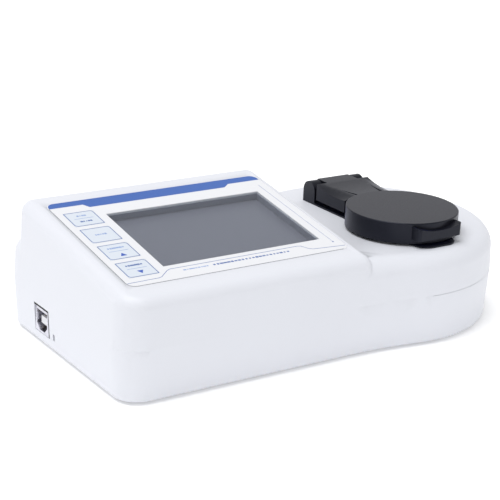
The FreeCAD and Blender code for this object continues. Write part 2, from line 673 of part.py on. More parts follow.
def battery_pack():
    cells = centred_block("battery_block", ("battery_length", "battery_width", "battery_height"),
                          "battery_x", "0", FLOOR)
    node("battery_pack", fillet("battery_pack", cells, size("battery_rim"),
                                lambda edge: abs(edge.Vertexes[0].Z - edge.Vertexes[-1].Z) > 1))


def usb_prism(name, length, inset):
    """A prism with the plug's end view: a square whose two lower corners are cut off."""
    body = new_body(name)
    sketch = sketch_on(body, name + "_outline", "YZ_Plane")
    half, top = f"(usb_mouth_width / 2 - ({inset}))", f"(usb_mouth_height - ({inset}))"
    low, slant = f"({inset})", f"(usb_chamfer - ({inset}) * (2 - sqrt(2)))"
    polygon(sketch, [(f"{slant} - {half}", low), (f"{half} - {slant}", low),
                     (half, f"{low} + {slant}"), (half, top), (f"0 - {half}", top),
                     (f"0 - {half}", f"{low} + {slant}")])
    pad(body, sketch, length)
    return place(body, "usb_front", "usb_y", "usb_bottom + usb_mouth_rise")


def usb_socket():
    corner = ("usb_front", "usb_y - usb_width / 2", "usb_bottom")
    outer = block("usb_box", ("usb_depth", "usb_width", "usb_height"), corner)
    cavity = block("usb_cavity", ("usb_depth - 2 * usb_sheet", "usb_width - 2 * usb_sheet",
                                  "usb_height - 2 * usb_sheet"),
                   tuple(f"{place_text} + usb_sheet" for place_text in corner))
    sleeve = usb_prism("usb_sleeve", "usb_depth - usb_sheet / 2", "0 - usb_sheet")
    tunnel = usb_prism("usb_tunnel", "usb_depth - usb_sheet", "0")
    walls = fuse("usb_walls", cut("usb_case", outer, cavity), sleeve)
    node("usb_shell", cut("usb_shell", walls, tunnel))
    middle = "usb_bottom + usb_mouth_rise + usb_mouth_height / 2"
    tongue_x = "usb_front + usb_depth - usb_sheet - usb_back - tongue_length"
    back_height = "(usb_mouth_height - 2 * usb_chamfer)"
    back = block("tongue_back", ("usb_back", "usb_mouth_width - usb_sheet", back_height),
                 (f"{tongue_x} + tongue_length", "usb_y - (usb_mouth_width - usb_sheet) / 2",
                  f"{middle} - {back_height} / 2"))
    tongue = block("tongue_blade", ("tongue_length + usb_back", "tongue_width", "tongue_height"),
                   (tongue_x, "usb_y - tongue_width / 2", f"{middle} - tongue_height / 2"))
    node("usb_tongue", fuse("usb_tongue", back, tongue))
    contacts = [block(f"usb_contact_{side}_{row}",
                      ("tongue_length - 1", "contact_width", "contact_thickness"),
                      (f"{tongue_x} + 1", f"usb_y + {side} * tongue_width / 4 - contact_width / 2",
                       f"{middle} + {row}"))
                for side in (-1, 1)
                for row in ("tongue_height / 2", "(0 - tongue_height / 2 - contact_thickness)")]
    node("usb_contacts", group("usb_contacts", contacts))


def reset_switch():
    housing = block("reset_housing", ("switch_size", "switch_size",
                                      f"{BOARD_BOTTOM} - reset_z + switch_size / 2"),
                    ("switch_front", "reset_y - switch_size / 2", "reset_z - switch_size / 2"))
    socket = rod("reset_socket", "plunger_radius + pin_clearance", "plunger_length + plunger_travel",
                 ("switch_front - plunger_travel", "reset_y", "reset_z"), "x")
    node("reset_switch", cut("reset_switch", housing, socket))
    node("reset_plunger", rod("reset_plunger", "plunger_radius", "plunger_length",
                              ("switch_front - plunger_travel", "reset_y", "reset_z"), "x"))


# --- sample well and optics -----------------------------------------------------------

def vial_holder():
    body = new_body("holder_blank")
    sketch = sketch_on(body, "holder_half", "XZ_Plane")
    outer = "well_radius + well_wall"
    top = f"{ROOF} - {FLOOR} - lip_clearance"
    polygon(sketch, [("0", "0"), (f"{outer} + well_wall", "0"), (f"{outer} + well_wall", "well_floor"),
                     (outer, "well_floor"), (outer, top), ("well_radius", top),
                     ("well_radius", "well_floor"), ("0", "well_floor")])
    revolve(body, sketch)
    place(body, *WELL, FLOOR)
    beam = rod("beam_hole", "aperture_radius", "4 * (well_radius + well_wall)",
               ("lid_x - 2 * (well_radius + well_wall)", "well_y", "beam_height"), "x")
    node("vial_holder", cut("vial_holder", body, beam))


LAMP_RIGHT = "(lid_x - well_radius - 2 * well_wall - optics_gap)"
LAMP_LEFT = f"({LAMP_RIGHT} - lamp_block_length)"
DETECTOR_LEFT = "(lid_x + well_radius + 2 * well_wall + optics_gap)"


def lamp():
    start = f"({LAMP_LEFT} - lamp_rim)"
    mount = block("lamp_mount", ("lamp_block_length", "lamp_block_width",
                                 f"beam_height + lamp_block_width / 2 - {FLOOR}"),
                  (LAMP_LEFT, "well_y - lamp_block_width / 2", FLOOR))
    barrel = rod("lamp_barrel", "lens_radius + lens_gap", "lamp_block_length",
                 (f"{LAMP_LEFT} + lamp_length / 2", "well_y", "beam_height"), "x")
    seat = rod("lamp_seat", "lamp_radius + lens_gap", "lamp_block_length",
               (start, "well_y", "beam_height"), "x")
    node("lamp_holder", cut("lamp_holder", mount, barrel, seat))
    flange = rod("lamp_flange", "lamp_flange", "lamp_rim", (start, "well_y", "beam_height"), "x")
    tube = rod("lamp_tube", "lamp_radius", "lamp_length - lamp_radius",
               (start, "well_y", "beam_height"), "x")
    tip = doc.addObject("Part::Sphere", "lamp_tip")
    bind(tip, Radius="lamp_radius")
    place(tip, f"{start} + lamp_length - lamp_radius", "well_y", "beam_height")
    node("light_source", fuse("light_source", flange, tube, tip))
    disc = rod("lens_disc", "lens_radius", "lens_blank",
               (f"{LAMP_RIGHT} - lens_edge - lens_blank", "well_y", "beam_height"), "x")
    ball = doc.addObject("Part::Sphere", "lens_ball")
    bind(ball, Radius="lens_curve")
    place(ball, f"{LAMP_RIGHT} - lens_edge - lens_curve", "well_y", "beam_height")
    node("collimating_lens", common("collimating_lens", disc, ball))


def detector():
    sizes = ("detector_length", "detector_width", "detector_height")
    bottom = "beam_height - detector_height / 2"
    inner_sizes = [f"{length} - 2 * detector_wall" for length in sizes]
    outer = block("detector_outer", ("detector_length", "detector_width",
                                     f"beam_height + detector_height / 2 - {FLOOR}"),
                  (DETECTOR_LEFT, "well_y - detector_width / 2", FLOOR))
    hollow = block("detector_hollow", inner_sizes,
                   (f"{DETECTOR_LEFT} + detector_wall",
                    "well_y - detector_width / 2 + detector_wall", f"{bottom} + detector_wall"))
    beam = rod("detector_beam", "aperture_radius", "detector_wall * 2",
               (f"{DETECTOR_LEFT} - detector_wall / 2", "well_y", "beam_height"), "x")
    node("detector_housing", cut("detector_housing", outer, hollow, beam))
    wall_face = f"{DETECTOR_LEFT} + detector_wall"
    plate = block("slit_plate", ("slit_width", "detector_width / 2", "detector_height / 2"),
                  (wall_face, "well_y - detector_width / 4", "beam_height - detector_height / 4"))
    gap = block("slit_gap", ("slit_width * 3", "slit_width", "slit_height"),
                (f"{wall_face} - slit_width", "well_y - slit_width / 2",
                 "beam_height - slit_height / 2"))
    node("entrance_slit", cut("entrance_slit", plate, gap))
    grating = box("grating", "grating_thickness", "grating_size", "grating_size")
    grating.Placement = FreeCAD.Placement(Vector(), Rotation(Vector(0, 0, 1), size("grating_turn")))
    place(grating, f"{DETECTOR_LEFT} + detector_length - detector_wall - grating_size",
          "well_y - grating_size / 4", "beam_height - grating_size / 2")
    node("grating", grating)
    side = "well_y - detector_width / 2 + detector_wall"
    node("detector_board", block(
        "detector_board", ("detector_chip_length * 1.2", "board_thickness / 2", "grating_size"),
        (f"{wall_face} + slit_width * 2", side, "beam_height - grating_size / 2")))
    node("detector_chip", block(
        "detector_chip", ("detector_chip_length", "detector_chip_height / 2",
                          "detector_chip_height * 2"),
        (f"{wall_face} + slit_width * 2 + detector_chip_length / 10",
         f"{side} + board_thickness / 2", "beam_height - detector_chip_height")))


# --- hinge, collar and lid --------------------------------------------------------------

def hinge_base():
    lip = centred_block("hinge_lip", ("tongue_lip_width", "well_y - tongue_lip_front",
                                      "plate_thickness"),
                        "lid_x", "(tongue_lip_front + well_y) / 2", DECK)
    lip = fillet("hinge_lip_round", lip, size("tongue_lip_round"),
                 lambda edge: vertical(edge) and edge.Vertexes[0].Y < size("well_y") - 1)
    rear = "hinge_y + knuckle_radius"
    strip = block("hinge_strip", ("hinge_width", f"{rear} - well_y", "plate_thickness"),
                  ("lid_x - hinge_width / 2", "well_y", DECK))
    disc = rod("hinge_disc", "collar_radius", "plate_thickness", (*WELL, DECK))
    knuckles = []
    for i, (x, y) in enumerate(HINGE_SCREWS):
        knuckles.append(block(f"pedestal_{i}", ("knuckle_width", "2 * knuckle_radius",
                                                f"{HINGE_Z} - {DECK}"),
                              (f"{x} - knuckle_width / 2", "hinge_y - knuckle_radius", DECK)))
        knuckles.append(rod(f"knuckle_{i}", "knuckle_radius", "knuckle_width",
                            (f"{x} - knuckle_width / 2", y, HINGE_Z), "x"))
    solid = fuse("hinge_solid", lip, strip, disc, *knuckles)
    mouth = rod("plate_mouth", "well_radius + well_clearance", "wall * 4", (*WELL, f"{DECK} - wall"))
    bore = rod("knuckle_bore", "pin_radius", "hinge_width - knuckle_width / 2",
               ("lid_x - hinge_width / 2 + knuckle_width / 4", "hinge_y", HINGE_Z), "x")
    pilots = [rod(f"hinge_pilot_{i}", "small_pilot_radius", f"{HINGE_Z} - {DECK} - pin_radius - pin_cover",
                  (x, y, DECK)) for i, (x, y) in enumerate(HINGE_SCREWS)]
    node("hinge_base", cut("hinge_base", solid, mouth, bore, *pilots))
    node("hinge_pin", rod("hinge_pin", "pin_radius", "hinge_width - knuckle_width / 2",
                          ("lid_x - hinge_width / 2 + knuckle_width / 4", "hinge_y", HINGE_Z), "x"))
    length = f"({HINGE_Z} - {ROOF} - pin_radius - 2 * pin_cover)"
    node("hinge_screws", group("hinge_screws", [
        screw(f"hinge_screw_{i}", "small_screw_radius", length, "small_head_radius",
              "small_head_height", x, y, f"{ROOF} - small_head_height")
        for i, (x, y) in enumerate(HINGE_SCREWS)]))


def vertical(edge):
    first, last = edge.Vertexes[0], edge.Vertexes[-1]
    return abs(first.X - last.X) + abs(first.Y - last.Y) < TOUCH < abs(first.Z - last.Z)


def well_collar():
    body = new_body("well_collar")
    sketch = sketch_on(body, "collar_section", "XZ_Plane")
    inner, outer = "well_radius + well_clearance", "collar_radius"
    rim = "collar_height - collar_chamfer"
    polygon(sketch, [(inner, "0"), (outer, "0"), (outer, rim),
                     (f"{outer} - collar_chamfer", "collar_height"),
                     (f"{inner} + collar_chamfer", "collar_height"), (inner, rim)])
    revolve(body, sketch)
    node("well_collar", place(body, *WELL, PLATE_TOP))


def lid_arm():
    """The arm: its crown runs level into the disc while its shoulders sag on both sides."""
    rear = size("hinge_y") - size("knuckle_radius") - size("arm_gap")
    front = size("well_y") + size("disc_radius") - size("disc_wall")
    high = size("arm_hinge_top")
    shoulder, crown = size("arm_disc_top"), size("crown_disc_top")
    wide, narrow = size("crown_rear_width") / 2, size("crown_front_width") / 2
    stations = [
        (rear, high, high, wide),
        ((rear + front) / 2, (high + shoulder) / 2 - size("arm_sag"),
         (high + crown) / 2 - size("crown_sag"), (wide + narrow) / 2),
        (front, shoulder, crown, narrow),
    ]
    half, low = size("arm_width") / 2, size("arm_bottom")
    wires = []
    for y, edge_top, top, inner in stations:
        side = [Vector(half, y, low), Vector(half, y, edge_top), Vector(inner, y, top)]
        mirrored = [Vector(-point.x, point.y, point.z) for point in reversed(side)]
        wires.append(Part.makePolygon([*side, *mirrored, side[0]]))
    arm = doc.addObject("Part::Feature", "lid_arm")
    arm.Shape = Part.makeLoft(wires, True, False)
    grooves = [arm_groove(side, rear, front) for side in (-1, 1)]
    return cut("lid_arm_grooved", place(arm, "lid_x", 0, 0), *grooves)


def arm_groove(side, rear, front):
    """A V groove beside the crown: it starts at the surface and deepens towards the disc."""
    start = Vector(side * size("groove_rear_width") / 2, rear - size("groove_start"),
                   (size("arm_hinge_top") + size("crown_disc_top")) / 2)
    end = Vector(side * size("groove_front_width") / 2, front, 0)
    end.z = size("crown_disc_top") - size("groove_depth")
    mouth = size("groove_depth") * 2
    half = mouth * size("groove_spread")
    corners = [end, end + Vector(half, 0, mouth), end + Vector(-half, 0, mouth), end]
    groove = doc.addObject("Part::Feature", f"arm_groove_{'left' if side < 0 else 'right'}")
    groove.Shape = Part.Face(Part.makePolygon(corners)).extrude((start - end) * 2)
    return place(groove, "lid_x", 0, 0)


def lid():
    bottom = f"({DECK} + plate_thickness + disc_gap)"
    top = "disc_top"
    disc = rod("lid_disc", "disc_radius", f"{top} - {bottom}", (*WELL, bottom))
    disc = fillet("lid_disc_edge", disc, size("disc_edge"), at_height(size("disc_top")))
    arm = lid_arm()
    middle = "(hinge_width - 2 * knuckle_width - 2 * knuckle_gap)"
    barrel = rod("lid_barrel", "knuckle_radius", middle, (f"lid_x - {middle} / 2", "hinge_y", HINGE_Z), "x")
    neck = block("lid_neck", (middle, "knuckle_radius + arm_gap + neck_reach",
                              f"arm_hinge_top - {HINGE_Z}"),
                 (f"lid_x - {middle} / 2", "hinge_y - knuckle_radius - arm_gap", HINGE_Z))
    tab = centred_block("lid_tab_blank", ("tab_width", "well_y - tab_front", "disc_top - tab_bottom"),
                        "lid_x", "(tab_front + well_y) / 2", "tab_bottom")
    tab = fillet("lid_tab_corners", tab, size("tab_corner"),
                 lambda edge: vertical(edge) and edge.Vertexes[0].Y < size("well_y") - 1)
    scoop = rod("lid_scoop", "tab_scoop_radius", "disc_radius * 2",
                ("lid_x", "tab_front - 1", "tab_middle_top + tab_scoop_radius"), "y")
    tab = cut("lid_tab", tab, scoop)
    solid = fuse("lid_solid", disc, arm, barrel, neck, tab)
    hollow = rod("lid_hollow", "disc_radius - disc_wall", f"{top} - {bottom} - disc_roof + 1",
                 (*WELL, f"{bottom} - 1"))
    bore = rod("lid_bore", "pin_radius + pin_clearance", "hinge_width * 2",
               ("lid_x - hinge_width", "hinge_y", HINGE_Z), "x")
    node("lid", cut("lid", solid, hollow, bore))
    inside = f"({top} - disc_roof)"
    ring = rod("seal_ring", "disc_radius - disc_wall - pin_clearance", "seal_height",
               (*WELL, f"{inside} - seal_height"))
    centre = rod("seal_centre", "seal_inner", "seal_height * 3", (*WELL, f"{inside} - seal_height * 2"))
    node("lid_seal", cut("lid_seal", ring, centre))


# --- build -----------------------------------------------------------------------------

for make in (upper_shell, lower_shell, feet, case_screws, panel_overlay, keypad_backing, keys,
             key_domes, display_window, display_module, main_board, battery_pack, usb_socket,
             reset_switch, vial_holder, lamp, detector, hinge_base, well_collar, lid):
    make()
doc.recompute()

for item in doc.Objects:
    if "Invalid" in item.State or "Error" in item.State:
        raise RuntimeError(f"{item.Name} is not sound: {item.State}")
for piece in NODES:
    if piece.Shape.isNull() or not piece.Shape.isValid() or piece.Shape.Volume <= 0:
        raise RuntimeError(f"{piece.Label} has no valid solid")

os.makedirs("parts", exist_ok=True)
for piece in NODES:
    piece.Shape.exportStep(f"parts/{piece.Label}.step")
    print(piece.Label, len(piece.Shape.Solids), round(piece.Shape.Volume, 1))
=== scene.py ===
import json
import math

import bmesh
import bpy
from mathutils import Matrix, Vector


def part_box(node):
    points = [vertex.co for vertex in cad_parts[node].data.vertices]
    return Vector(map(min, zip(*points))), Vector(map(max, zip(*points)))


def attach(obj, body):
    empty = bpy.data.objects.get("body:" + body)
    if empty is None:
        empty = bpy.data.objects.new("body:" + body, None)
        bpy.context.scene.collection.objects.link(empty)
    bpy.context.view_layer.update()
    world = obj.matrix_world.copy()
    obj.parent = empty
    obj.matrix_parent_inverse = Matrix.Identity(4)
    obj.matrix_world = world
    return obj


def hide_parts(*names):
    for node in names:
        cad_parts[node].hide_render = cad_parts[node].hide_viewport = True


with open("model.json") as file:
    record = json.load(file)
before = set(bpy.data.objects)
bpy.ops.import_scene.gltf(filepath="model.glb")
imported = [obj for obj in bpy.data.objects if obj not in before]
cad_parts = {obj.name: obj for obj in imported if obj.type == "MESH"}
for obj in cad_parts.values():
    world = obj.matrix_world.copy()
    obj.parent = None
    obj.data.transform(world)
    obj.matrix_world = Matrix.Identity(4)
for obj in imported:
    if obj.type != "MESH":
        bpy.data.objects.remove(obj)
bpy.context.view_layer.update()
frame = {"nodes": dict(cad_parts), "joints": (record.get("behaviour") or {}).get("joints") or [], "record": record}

MM = 0.001
DRIFT_SPAN = 60 * MM
ROUGHNESS_SWING = 0.1

# ---------------------------------------------------------------------------
# Small tools
# ---------------------------------------------------------------------------


def linear(colour):
    """An sRGB hex colour as linear RGBA."""
    parts = [int(colour[i:i + 2], 16) / 255 for i in (1, 3, 5)]
    return [c / 12.92 if c <= 0.04045 else ((c + 0.055) / 1.055) ** 2.4 for c in parts] + [1.0]


def add(tree, kind, inputs=None, **settings):
    """Adds a node, sets its properties and fills its inputs with values or links."""
    item = tree.nodes.new(kind)
    for name, value in settings.items():
        setattr(item, name, value)
    for name, value in (inputs or {}).items():
        socket = item.inputs[name]
        if isinstance(value, bpy.types.NodeSocket):
            tree.links.new(value, socket)
        else:
            socket.default_value = value
    return item


def shader_of(material):
    """The material's main shader node."""
    nodes = material.node_tree.nodes
    return next(node for node in nodes if node.type == "BSDF_PRINCIPLED")


def surface(name, colour, roughness, grain, depth, drift, metallic=0.0, ior=1.5,
            glint="#FFFFFF", stretch=(1, 1, 1)):
    """A surface with a fine grain in its height and gloss, and slow drift in its colour.

    grain is the size of one grain in metres and depth its height.
    """
    material = bpy.data.materials.new(name)
    material.use_nodes = True
    tree = material.node_tree
    tree.nodes.clear()
    place = add(tree, "ShaderNodeTexCoord").outputs["Object"]
    run = add(tree, "ShaderNodeMapping", {"Vector": place, "Scale": stretch}).outputs["Vector"]
    fine = add(tree, "ShaderNodeTexNoise",
               {"Vector": run, "Scale": 1 / grain, "Detail": 3.0, "Roughness": 0.6})
    slow = add(tree, "ShaderNodeTexNoise",
               {"Vector": place, "Scale": 1 / DRIFT_SPAN, "Detail": 4.0, "Roughness": 0.55})
    low = [channel * (1 - drift) for channel in linear(colour)[:3]] + [1.0]
    high = [min(1.0, channel * (1 + drift)) for channel in linear(colour)[:3]] + [1.0]
    tint = add(tree, "ShaderNodeMix", {"Factor": slow.outputs["Fac"]}, data_type="RGBA")
    tint.inputs[6].default_value = low
    tint.inputs[7].default_value = high
    gloss = add(tree, "ShaderNodeMapRange",
                {"Value": fine.outputs["Fac"], "From Min": 0.3, "From Max": 0.7,
                 "To Min": roughness * (1 - ROUGHNESS_SWING),
                 "To Max": min(1.0, roughness * (1 + ROUGHNESS_SWING))})
    bump = add(tree, "ShaderNodeBump",
               {"Height": fine.outputs["Fac"], "Distance": depth, "Strength": 1.0})
    shader = add(tree, "ShaderNodeBsdfPrincipled",
                 {"Base Color": tint.outputs[2], "Roughness": gloss.outputs["Result"],
                  "Normal": bump.outputs["Normal"], "Metallic": metallic,
                  "Specular Tint": linear(glint)})
    if metallic < 0.5:
        shader.inputs["IOR"].default_value = ior
    add(tree, "ShaderNodeOutputMaterial", {"Surface": shader.outputs["BSDF"]})
    return material


# ---------------------------------------------------------------------------
# Materials
# ---------------------------------------------------------------------------


def white_abs():
    # Injection-moulded ABS from a spark-eroded tool: a cool white that breaks up the light.
    return surface("white_moulded_abs", "#DDDFE6", 0.46, 0.7 * MM, 0.012 * MM, 0.012)


def black_abs():
    # Satin black ABS: dark from the front and blue-grey at a low angle; that blue is a painted reflection, made by
    # a faint blue sheen and a blue tint in the gloss.
    material = surface("black_satin_abs", "#101117", 0.34, 0.6 * MM, 0.008 * MM, 0.08, ior=1.36,
                       glint="#E0E5FF")
    shader = shader_of(material)
    # Painted reflection: a faint blue sheen that turns the low-angle gloss blue.
    shader.inputs["Sheen Weight"].default_value = 0.05
    shader.inputs["Sheen Roughness"].default_value = 0.3
    shader.inputs["Sheen Tint"].default_value = linear("#3E62FF")
    return material


def black_matt():
    # Black parts in the light path are matt so that they swallow stray light.
    return surface("matt_black_polyamide", "#101012", 0.85, 0.5 * MM, 0.02 * MM, 0.1)


def panel_film():
    # Back-printed polycarbonate film: an even white with a velvet top.
    return surface("printed_polycarbonate_film", "#E3E4E8", 0.38, 0.4 * MM, 0.004 * MM, 0.008)


def key_film():
    # The same film over the keys, tinted a faint blue.
    return surface("key_polycarbonate_film", "#D4DBE5", 0.36, 0.4 * MM, 0.004 * MM, 0.01)


def ink(name, colour):
    # Screen-print ink: a flat colour with the faint screen texture.
    return surface(name, colour, 0.45, 0.3 * MM, 0.003 * MM, 0.04)


def display_face():
    # The front polariser of an unlit display: an even grey with a soft sheen.
    return surface("display_polariser", "#80808A", 0.30, 0.35 * MM, 0.002 * MM, 0.015)


def steel():
    # Zinc-plated steel: bright with a fine brushed run.
    return surface("zinc_plated_steel", "#A9ABB0", 0.32, 0.4 * MM, 0.004 * MM, 0.06, 1.0,
                   stretch=(1, 8, 1))


def nickel():
    # Nickel-plated sheet of the socket, a little dulled by handling.
    return surface("nickel_plated_sheet", "#C6C6CF", 0.28, 0.5 * MM, 0.004 * MM, 0.08, 1.0)


def gold():
    # Gold flash over nickel on the contacts.
    return surface("gold_flash", "#D8B36A", 0.25, 0.3 * MM, 0.002 * MM, 0.05, 1.0)


def ivory_insulator():
    # Glass-filled thermoplastic, off-white and slightly rough.
    return surface("ivory_thermoplastic", "#E2E2E6", 0.5, 0.4 * MM, 0.01 * MM, 0.03)


def green_board():
    # Green solder mask over glass-epoxy laminate.
    return surface("green_solder_mask", "#1D5B36", 0.3, 1.2 * MM, 0.004 * MM, 0.12)


def chip_epoxy():
    # Moulded epoxy of the chips, dark grey and dull.
    return surface("moulded_epoxy", "#232426", 0.6, 0.25 * MM, 0.01 * MM, 0.08)


def foot_rubber():
    # Moulded rubber, dull and slightly dusty.
    return surface("moulded_rubber", "#1E1E1F", 0.8, 0.6 * MM, 0.03 * MM, 0.15)


def seal_foam():
    # Closed-cell foam: cells of about half a millimetre show as small dimples.
    return surface("closed_cell_foam", "#18181A", 0.95, 0.55 * MM, 0.12 * MM, 0.2)


def window_shade_grey():
    # Painted shade: a grey, fine-grained ring round the display opening that stands in for the shadow inside the
    # recess.
    return surface("grey_painted_recess_shade", "#8C8E9A", 0.8, 0.3 * MM, 0.02 * MM, 0.06)


def backing_film():
    # Milky polyester film under the panel.
    return surface("polyester_film", "#C6C9CE", 0.5, 0.5 * MM, 0.004 * MM, 0.02)


def light_guide():
    # Frosted acrylic light guide.
    return surface("frosted_acrylic", "#E8E8E6", 0.6, 0.5 * MM, 0.01 * MM, 0.02)


def battery_wrap():
    # Blue shrink film drawn tight over the cells.
    return surface("blue_shrink_film", "#27457F", 0.25, 6 * MM, 0.15 * MM, 0.06)


def ruled_mirror():
    # Aluminium coating with fine rulings, drawn at 0.3 mm because the true pitch can't show.
    return surface("ruled_aluminium_coating", "#C9CCD2", 0.12, 0.3 * MM, 0.004 * MM, 0.03, 1.0,
                   stretch=(1, 12, 1))


def clear_sheet(name, tint, gloss):
    """Clear sheet: it lets light through and mirrors the room more at a low angle."""
    material = bpy.data.materials.new(name)
    material.use_nodes = True
    tree = material.node_tree
    tree.nodes.clear()
    place = add(tree, "ShaderNodeTexCoord").outputs["Object"]
    ripple = add(tree, "ShaderNodeTexNoise", {"Vector": place, "Scale": 1 / (15 * MM)})
    bump = add(tree, "ShaderNodeBump", {"Height": ripple.outputs["Fac"], "Distance": 0.004 * MM})
    through = add(tree, "ShaderNodeBsdfTransparent", {"Color": linear(tint)})
    mirror = add(tree, "ShaderNodeBsdfGlossy",
                 {"Roughness": 0.08, "Normal": bump.outputs["Normal"]})
    slant = add(tree, "ShaderNodeLayerWeight", {"Blend": 0.5}).outputs["Facing"]
    curve = add(tree, "ShaderNodeMath", {0: slant, 1: 5.0}, operation="POWER").outputs["Value"]
    angle = add(tree, "ShaderNodeMapRange", {"Value": curve, "To Min": 0.03, "To Max": gloss})
    mix = add(tree, "ShaderNodeMixShader", {0: angle.outputs["Result"],
                                            1: through.outputs["BSDF"],
                                            2: mirror.outputs["BSDF"]})
    add(tree, "ShaderNodeOutputMaterial", {"Surface": mix.outputs["Shader"]})
    return material


def pale_floor():
    # White seamless paper with a faint glow of its own, so that it stays white throughout.
    material = surface("seamless_paper", "#FFFFFF", 0.9, 2 * MM, 0.02 * MM, 0.002)
    shader = shader_of(material)
    shader.inputs["Emission Color"].default_value = linear("#FFFFFF")
    shader.inputs["Emission Strength"].default_value = 0.17
    return material


ABS = white_abs()
BLACK = black_abs()
MATT = black_matt()
FILM = panel_film()
KEY = key_film()
STEEL = steel()
NICKEL = nickel()
GOLD = gold()
IVORY = ivory_insulator()
BOARD = green_board()
CHIP = chip_epoxy()
RUBBER = foot_rubber()
FOAM = seal_foam()
# Painted shade for the recess round the display.
WINDOW_SHADE = window_shade_grey()
BLUE_INK = ink("blue_screen_ink", "#3560AE")
# Painted shade: dark ink for the shadow along the film's left and lower edges.
EDGE_SHADE_INK = ink("charcoal_edge_shade_ink", "#555B68")
LINE_INK = ink("slate_blue_screen_ink", "#4E6CA8")
SYMBOL_INK = ink("deep_blue_screen_ink", "#2B57B5")
PALE_INK = ink("pale_blue_screen_ink", "#8FA6D2")
PANE = clear_sheet("clear_acrylic_sheet", "#F4F6F8", 0.5)
LENS = clear_sheet("polished_crown_glass", "#EEF4F6", 0.9)

NODE_FINISH = {
    "upper_shell": ABS, "lower_shell": ABS, "feet": RUBBER, "case_screws": STEEL,
    "panel_overlay": FILM, "keypad_backing": backing_film(), "key_domes": STEEL,
    "key_mode": KEY, "key_enter": KEY, "key_up": KEY, "key_down": KEY,
    "display_window": PANE, "lcd_glass": display_face(), "lcd_frame": STEEL,
    "lcd_backlight": light_guide(), "display_board": BOARD, "display_screws": STEEL,
    "main_board": BOARD, "processor": CHIP, "board_screws": STEEL,
    "battery_pack": battery_wrap(), "usb_shell": NICKEL, "usb_tongue": IVORY,
    "usb_contacts": GOLD, "reset_switch": CHIP, "reset_plunger": IVORY,
    "vial_holder": MATT, "lamp_holder": MATT, "light_source": LENS,
    "collimating_lens": LENS, "detector_housing": MATT, "entrance_slit": STEEL,
    "grating": ruled_mirror(), "detector_board": BOARD, "detector_chip": CHIP,
    "hinge_base": BLACK, "hinge_pin": STEEL, "hinge_screws": STEEL,
    "well_collar": BLACK, "lid": BLACK, "lid_seal": FOAM,
}


def dress_frame():
    """Gives every CAD node its material."""
    for name, material in NODE_FINISH.items():
        mesh = frame["nodes"][name].data
        mesh.materials.clear()
        mesh.materials.append(material)


# ---------------------------------------------------------------------------
# Pieces
# ---------------------------------------------------------------------------


def body_of(name):
    """The body that a CAD node rides on."""
    groups = frame["record"]["behaviour"]["bodies"]
    return next(body for body, members in groups.items() if name in members)


def slot_of(name):
    """The material slot of a CAD node."""
    parts = frame["record"]["subparts"]
    return next(part["material_slot"] for part in parts if part["node"] == name)


def link(name, mesh, material, body):
    """Puts a finished mesh into the scene as a piece on a body."""
    mesh.materials.clear()
    mesh.materials.append(material)
    piece = bpy.data.objects.new(name, mesh)
    bpy.context.scene.collection.objects.link(piece)
    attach(piece, body)
    return piece


def from_bmesh(shape, name):
    """Turns a finished bmesh into a mesh and frees it."""
    mesh = bpy.data.meshes.new(name)
    shape.to_mesh(mesh)
    shape.free()
    return mesh


CREASE = math.radians(28)
MERGE, DEGENERATE = 0.002 * MM, 0.001 * MM
FLAT = math.radians(0.2)


def smoothed(name, node, rim):
    """A merged copy of a CAD node whose rounds shade evenly and whose edges are eased."""
    shape = bmesh.new()
    shape.from_mesh(frame["nodes"][node].data)
    bmesh.ops.remove_doubles(shape, verts=shape.verts, dist=MERGE)
    bmesh.ops.dissolve_degenerate(shape, edges=shape.edges, dist=DEGENERATE)
    if rim:
        bmesh.ops.dissolve_limit(shape, angle_limit=FLAT, verts=shape.verts,
                                 edges=shape.edges)
    mesh = from_bmesh(shape, name)
    for face in mesh.polygons:
        face.use_smooth = True
    mesh.set_sharp_from_angle(angle=CREASE)
    holder = bpy.data.objects.new(name + "_making", mesh)
    bpy.context.scene.collection.objects.link(holder)
    if rim:
        bevel = holder.modifiers.new("rim", "BEVEL")
        bevel.width = rim
        bevel.segments = 2
        bevel.limit_method = "ANGLE"
        bevel.angle_limit = CREASE
    weigh = holder.modifiers.new("weigh", "WEIGHTED_NORMAL")
    weigh.keep_sharp = True
    made = bpy.data.meshes.new_from_object(
        holder.evaluated_get(bpy.context.evaluated_depsgraph_get()))
    made.name = name
    bpy.data.objects.remove(holder)
    piece = link(name, made, NODE_FINISH[node], body_of(node))
    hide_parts(node)


# The CAD node that each smoothed piece replaces, and the width of its eased edges.
SMOOTH_PARTS = {
    "upper_case": ("upper_shell", 0.0), "lower_case": ("lower_shell", 0.0),
    "lid_moulding": ("lid", 0.25 * MM), "hinge_moulding": ("hinge_base", 0.2 * MM),
    "collar_moulding": ("well_collar", 0.0), "vial_block": ("vial_holder", 0.0),
}


# ---------------------------------------------------------------------------
# The sloping panel: u runs right and v up the slope, both in millimetres
# ---------------------------------------------------------------------------

INTO_PANEL = Vector(next(j["axis"] for j in frame["joints"] if j["name"] == "key_mode_press"))
OUT = -INTO_PANEL.normalized()
UP_SLOPE = Vector((0, OUT.z, -OUT.y))
PANEL_LOW, PANEL_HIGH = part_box("panel_overlay")
PANEL_WIDTH = (PANEL_HIGH.x - PANEL_LOW.x) / MM
PANEL_HEIGHT = 69.2
PANEL_ORIGIN = Vector((PANEL_LOW.x, PANEL_LOW.y, PANEL_HIGH.z - PANEL_HEIGHT * MM * UP_SLOPE.z))


def on_panel(u, v, w):
    """The point at u and v, w millimetres over the film."""
    return PANEL_ORIGIN + MM * (Vector((u, 0, 0)) + v * UP_SLOPE + w * OUT)


def panel_v(point):
    """How far up the slope a point lies."""
    return (point - PANEL_ORIGIN).dot(UP_SLOPE) / MM


